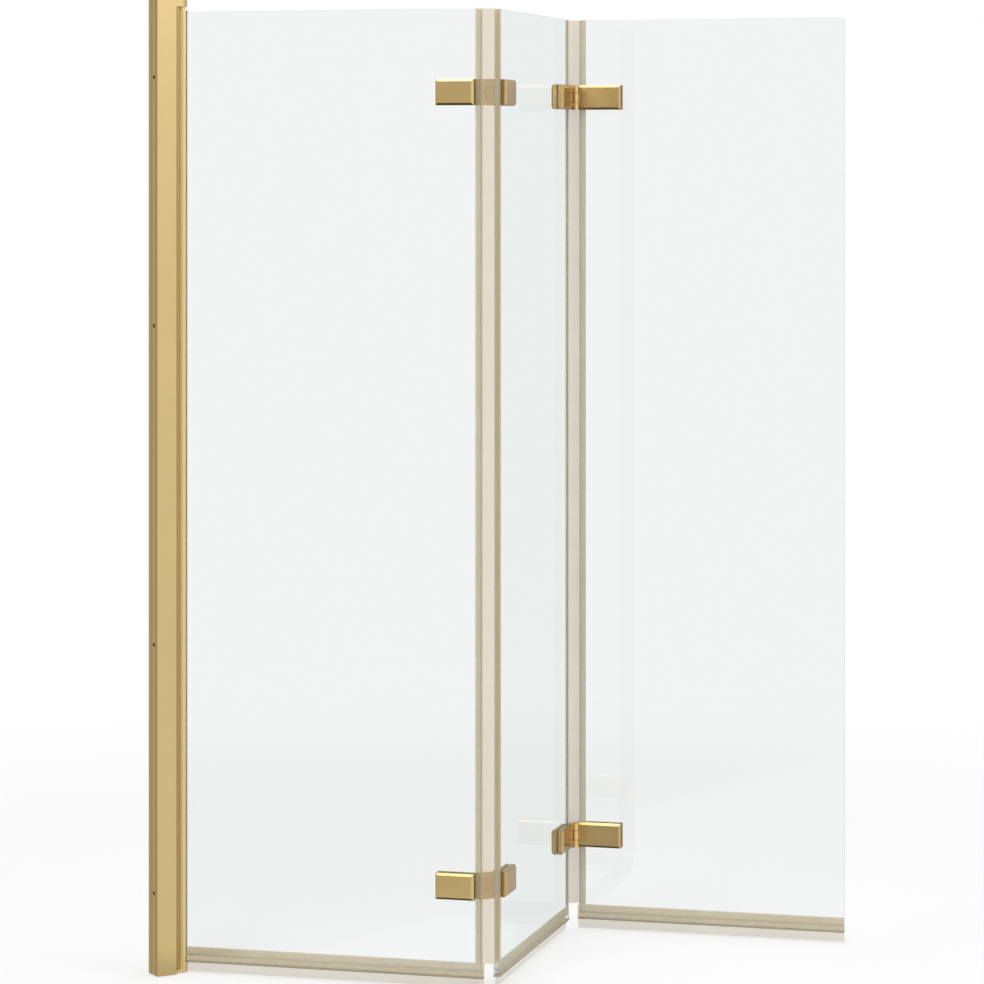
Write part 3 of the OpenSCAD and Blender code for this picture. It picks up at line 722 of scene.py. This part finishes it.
endGap = 0.8
barrelGap = 0.3
bottomRuns = {
    "bottom_seal_1": (onPanel1, screen["barrelR"] + barrelGap, lengths[0] - endGap,
                      "panel_1", "bottomPvcOuter"),
    "bottom_seal_2": (onPanel2, endGap, lengths[1] - endGap, "panel_2", "bottomPvcMiddle"),
    "bottom_seal_3": (onPanel3, endGap, lengths[2], "panel_3", "bottomPvcOuter"),
}
for name, (place, start, end, body, paint) in bottomRuns.items():
    seal = extrude(name + "_soft", bottomLoops(), place, start, end, along="u")
    finishPiece(seal, paint, [name])
    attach(seal, body)
print("bottom seals made")


# Floor, backdrop colour and light

studio = {
    "floorSize": 60.0, "floorLevel": -0.0012,
    "shadowAt": (0.45, -0.15, 0.0), "shadowFrom": 1.0, "shadowTo": 2.6, "shadowShare": 0.35,
    "lamps": {
        # place, aim, width, height, power, seen in mirrors
        "overhead": ((0.3, -0.5, 3.6), (0.4, -0.2, 0.6), 2.4, 2.4, 62.0, True),
        "keyRight": ((3.0, -4.6, 3.4), (0.4, -0.1, 0.8), 2.6, 2.4, 46.0, True),
        "fillLeft": ((-3.8, -2.8, 2.8), (0.4, -0.1, 0.7), 2.4, 2.4, 60.0, False),
    },
    "worldDiffuse": 0.62,
    # mirrors see the background white to the front right and a little greyer elsewhere
    "brightWay": (0.545, -0.839, 0.0), "greyFrom": 0.50, "whiteFrom": 0.66,
    "brightFrom": (0.08, -0.06, 0.0),  # where the floor's share of it spreads from
    "greySide": (0.70, 0.70, 0.695), "below": (0.085, 0.072, 0.052), "flatFrom": (-0.05, 0.85),
    "floorLow": (0.80, 0.80, 0.80), "floorHigh": (0.83, 0.83, 0.83),
}


def brightSide(paint, way):
    return paint.between(paint.dot(way, studio["brightWay"]), studio["greyFrom"], studio["whiteFrom"])


def makeFloor():
    size = studio["floorSize"]
    level = studio["floorLevel"]
    mesh = bpy.data.meshes.new("floor")
    corners = [(-size, -size, level), (size, -size, level), (size, size, level), (-size, size, level)]
    mesh.from_pydata(corners, [], [(0, 1, 2, 3)])
    floor = bpy.data.objects.new("floor", mesh)
    scene.collection.objects.link(floor)
    paint = newPaint("floorWhite")
    grain = paint.noise(paint.place((3, 3, 3)), 1.0, 2.0)
    matt = paint.node("ShaderNodeBsdfDiffuse", {}, {
        "Color": paint.blendColours(grain, studio["floorLow"], studio["floorHigh"])})
    white = paint.node("ShaderNodeEmission", {}, {"Color": (1.0, 1.0, 1.0)})
    greyer = paint.node("ShaderNodeEmission", {}, {"Color": studio["greySide"]})
    dark = paint.node("ShaderNodeEmission", {}, {"Color": studio["below"]})
    place = paint.place()
    way = paint.vector("NORMALIZE", paint.vector("SUBTRACT", place, studio["brightFrom"]))
    ground = paint.mixShaders(brightSide(paint, way), greyer, white)
    apart = paint.awayFrom(place, studio["shadowAt"])
    near = 1 - paint.between(apart, studio["shadowFrom"], studio["shadowTo"])
    shown = paint.mixShaders(near * studio["shadowShare"], white, matt)
    # to mirrors the floor glows white at a flat angle and glows dark where a mirror looks straight
    # down at it, a painted dark reflection for the undersides of the metal
    flat = paint.node("ShaderNodeLayerWeight", {}, {"Blend": 0.5}, output="Facing")
    mirrored = paint.mixShaders(paint.between(flat, *studio["flatFrom"]), dark, ground)
    surface = paint.mixShaders(paint.inSight(), matt, shown)
    mesh.materials.append(paint.output(paint.mixShaders(paint.inMirror(), surface, mirrored)))


def makeWorld():
    world = bpy.data.worlds.new("studioWorld")
    scene.world = world
    paint = Paint(world)
    way = paint.node("ShaderNodeTexCoord", output="Generated")
    soft = paint.node("ShaderNodeBackground", {}, {
        "Color": (1, 1, 1), "Strength": studio["worldDiffuse"]})
    white = paint.node("ShaderNodeBackground", {}, {"Color": (1, 1, 1), "Strength": 1.0})
    greyer = paint.node("ShaderNodeBackground", {}, {
        "Color": studio["greySide"], "Strength": 1.0})
    mirrored = paint.mixShaders(brightSide(paint, way), greyer, white)
    shown = paint.mixShaders(paint.inSight(), soft, white)
    paint.output(paint.mixShaders(paint.inMirror(), shown, mirrored), "ShaderNodeOutputWorld")


def makeLamps():
    for name, (place, aim, width, height, power, mirrored) in studio["lamps"].items():
        data = bpy.data.lights.new(name, "AREA")
        data.shape = "RECTANGLE"
        data.size = width
        data.size_y = height
        data.energy = power
        lamp = bpy.data.objects.new(name, data)
        lamp.location = place
        lamp.rotation_euler = (Vector(aim) - Vector(place)).to_track_quat("-Z", "Y").to_euler()
        lamp.visible_glossy = mirrored
        scene.collection.objects.link(lamp)


makeFloor()
makeWorld()
makeLamps()
scene.view_settings.view_transform = "Standard"
print("studio made")
